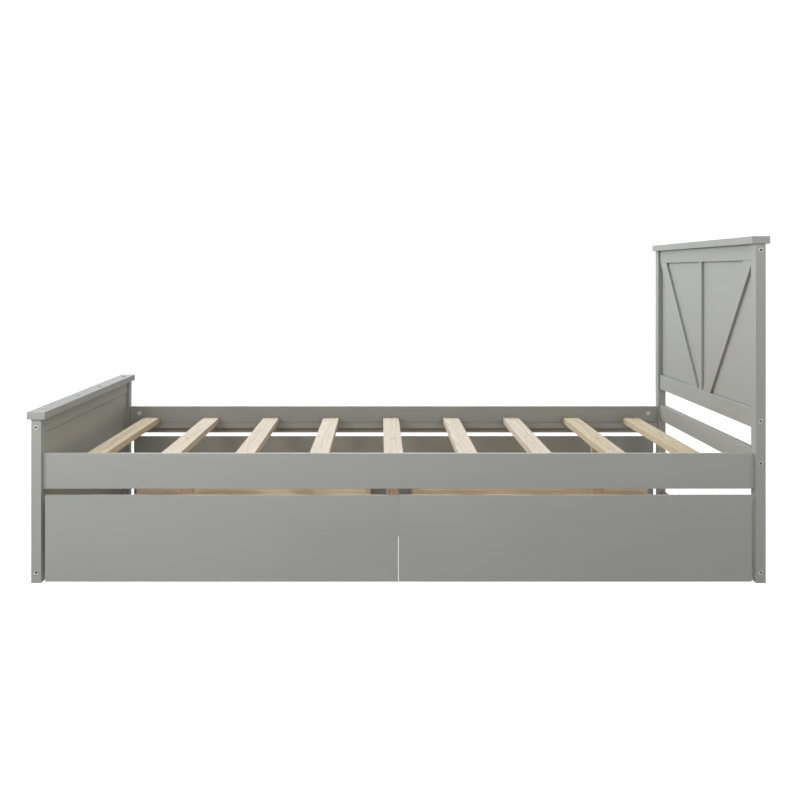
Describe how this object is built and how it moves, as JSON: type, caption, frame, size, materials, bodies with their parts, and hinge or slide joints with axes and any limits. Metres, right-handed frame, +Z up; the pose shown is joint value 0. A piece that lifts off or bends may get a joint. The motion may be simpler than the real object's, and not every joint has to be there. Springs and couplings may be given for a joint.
{
  "type": "platform bed with storage drawers",
  "caption": "Low wooden platform bed with a braced panel headboard, a capped footboard, loose slats and roll-out drawers under both sides.",
  "frame": {"origin": "on the floor, under the middle of the bed's bounding box", "axes": "+X towards the headboard, +Y towards the bed's left side seen from its foot, +Z up"},
  "size_m": [1.9788, 1.46, 0.9265],
  "materials": {
    "grey_paint": "warm grey satin paint over wood, faint grain",
    "pine": "natural pine, planed, unfinished",
    "drawer_wood": "natural wood board, clear sealed",
    "drawer_ply": "thin plywood, unfinished",
    "zinc": "bright zinc plate",
    "dark_steel": "dark plated steel",
    "bracket_steel": "pressed zinc-plated steel",
    "wheel_nylon": "black moulded nylon"
  },
  "bodies": {
    "frame": {"head_post_right": "grey_paint", "head_post_left": "grey_paint", "head_cap": "grey_paint", "head_top_rail": "grey_paint", "head_panel": "grey_paint", "head_stile": "grey_paint", "head_brace_right": "grey_paint", "head_brace_left": "grey_paint", "head_middle_rail": "grey_paint", "head_bottom_rail": "grey_paint", "head_floor_rail": "grey_paint", "foot_post_right": "grey_paint", "foot_post_left": "grey_paint", "foot_cap": "grey_paint", "foot_top_rail": "grey_paint", "foot_panel": "grey_paint", "foot_bottom_rail": "grey_paint", "side_rail_right": "grey_paint", "side_rail_left": "grey_paint", "cleat_right": "grey_paint", "cleat_left": "grey_paint", "slat_1": "pine", "slat_2": "pine", "slat_3": "pine", "slat_4": "pine", "slat_5": "pine", "slat_6": "pine", "slat_7": "pine", "slat_8": "pine", "slat_9": "pine", "centre_legs": "pine", "frame_bolts": "zinc", "barrel_nuts": "zinc", "cam_fittings": "zinc", "cap_bolts": "zinc", "leg_bolts": "dark_steel"},
    "drawer_right_foot": {"drawer_right_foot_front": "grey_paint", "drawer_right_foot_walls": "drawer_wood", "drawer_right_foot_bottom": "drawer_ply", "drawer_right_foot_brackets": "bracket_steel"},
    "drawer_right_foot_outer_wheels": {"drawer_right_foot_outer_wheels": "wheel_nylon"},
    "drawer_right_foot_inner_wheels": {"drawer_right_foot_inner_wheels": "wheel_nylon"},
    "drawer_right_head": {"drawer_right_head_front": "grey_paint", "drawer_right_head_walls": "drawer_wood", "drawer_right_head_bottom": "drawer_ply", "drawer_right_head_brackets": "bracket_steel"},
    "drawer_right_head_outer_wheels": {"drawer_right_head_outer_wheels": "wheel_nylon"},
    "drawer_right_head_inner_wheels": {"drawer_right_head_inner_wheels": "wheel_nylon"},
    "drawer_left_foot": {"drawer_left_foot_front": "grey_paint", "drawer_left_foot_walls": "drawer_wood", "drawer_left_foot_bottom": "drawer_ply", "drawer_left_foot_brackets": "bracket_steel"},
    "drawer_left_foot_outer_wheels": {"drawer_left_foot_outer_wheels": "wheel_nylon"},
    "drawer_left_foot_inner_wheels": {"drawer_left_foot_inner_wheels": "wheel_nylon"},
    "drawer_left_head": {"drawer_left_head_front": "grey_paint", "drawer_left_head_walls": "drawer_wood", "drawer_left_head_bottom": "drawer_ply", "drawer_left_head_brackets": "bracket_steel"},
    "drawer_left_head_outer_wheels": {"drawer_left_head_outer_wheels": "wheel_nylon"},
    "drawer_left_head_inner_wheels": {"drawer_left_head_inner_wheels": "wheel_nylon"}
  },
  "joints": [
    {"name": "drawer_right_foot_slide", "type": "slide", "parent": "frame", "child": "drawer_right_foot", "axis": [0, -1, 0], "range_m": [0, 0.6]},
    {"name": "drawer_right_foot_outer_roll", "type": "hinge", "parent": "drawer_right_foot", "child": "drawer_right_foot_outer_wheels", "pos_m": [-0.4592, -0.659, 0.016], "axis": [1, 0, 0], "continuous": true},
    {"name": "drawer_right_foot_inner_roll", "type": "hinge", "parent": "drawer_right_foot", "child": "drawer_right_foot_inner_wheels", "pos_m": [-0.4592, -0.178, 0.016], "axis": [1, 0, 0], "continuous": true},
    {"name": "drawer_right_head_slide", "type": "slide", "parent": "frame", "child": "drawer_right_head", "axis": [0, -1, 0], "range_m": [0, 0.6]},
    {"name": "drawer_right_head_outer_roll", "type": "hinge", "parent": "drawer_right_head", "child": "drawer_right_head_outer_wheels", "pos_m": [0.4392, -0.659, 0.016], "axis": [1, 0, 0], "continuous": true},
    {"name": "drawer_right_head_inner_roll", "type": "hinge", "parent": "drawer_right_head", "child": "drawer_right_head_inner_wheels", "pos_m": [0.4392, -0.178, 0.016], "axis": [1, 0, 0], "continuous": true},
    {"name": "drawer_left_foot_slide", "type": "slide", "parent": "frame", "child": "drawer_left_foot", "axis": [0, 1, 0], "range_m": [0, 0.6]},
    {"name": "drawer_left_foot_outer_roll", "type": "hinge", "parent": "drawer_left_foot", "child": "drawer_left_foot_outer_wheels", "pos_m": [-0.4592, 0.659, 0.016], "axis": [1, 0, 0], "continuous": true},
    {"name": "drawer_left_foot_inner_roll", "type": "hinge", "parent": "drawer_left_foot", "child": "drawer_left_foot_inner_wheels", "pos_m": [-0.4592, 0.178, 0.016], "axis": [1, 0, 0], "continuous": true},
    {"name": "drawer_left_head_slide", "type": "slide", "parent": "frame", "child": "drawer_left_head", "axis": [0, 1, 0], "range_m": [0, 0.6]},
    {"name": "drawer_left_head_outer_roll", "type": "hinge", "parent": "drawer_left_head", "child": "drawer_left_head_outer_wheels", "pos_m": [0.4392, 0.659, 0.016], "axis": [1, 0, 0], "continuous": true},
    {"name": "drawer_left_head_inner_roll", "type": "hinge", "parent": "drawer_left_head", "child": "drawer_left_head_inner_wheels", "pos_m": [0.4392, 0.178, 0.016], "axis": [1, 0, 0], "continuous": true}
  ],
  "couplings": [
    {"joint": "drawer_right_foot_outer_roll", "follows": "drawer_right_foot_slide", "rad_per_m": 62.5},
    {"joint": "drawer_right_foot_inner_roll", "follows": "drawer_right_foot_slide", "rad_per_m": 62.5},
    {"joint": "drawer_right_head_outer_roll", "follows": "drawer_right_head_slide", "rad_per_m": 62.5},
    {"joint": "drawer_right_head_inner_roll", "follows": "drawer_right_head_slide", "rad_per_m": 62.5},
    {"joint": "drawer_left_foot_outer_roll", "follows": "drawer_left_foot_slide", "rad_per_m": -62.5},
    {"joint": "drawer_left_foot_inner_roll", "follows": "drawer_left_foot_slide", "rad_per_m": -62.5},
    {"joint": "drawer_left_head_outer_roll", "follows": "drawer_left_head_slide", "rad_per_m": -62.5},
    {"joint": "drawer_left_head_inner_roll", "follows": "drawer_left_head_slide", "rad_per_m": -62.5}
  ]
}
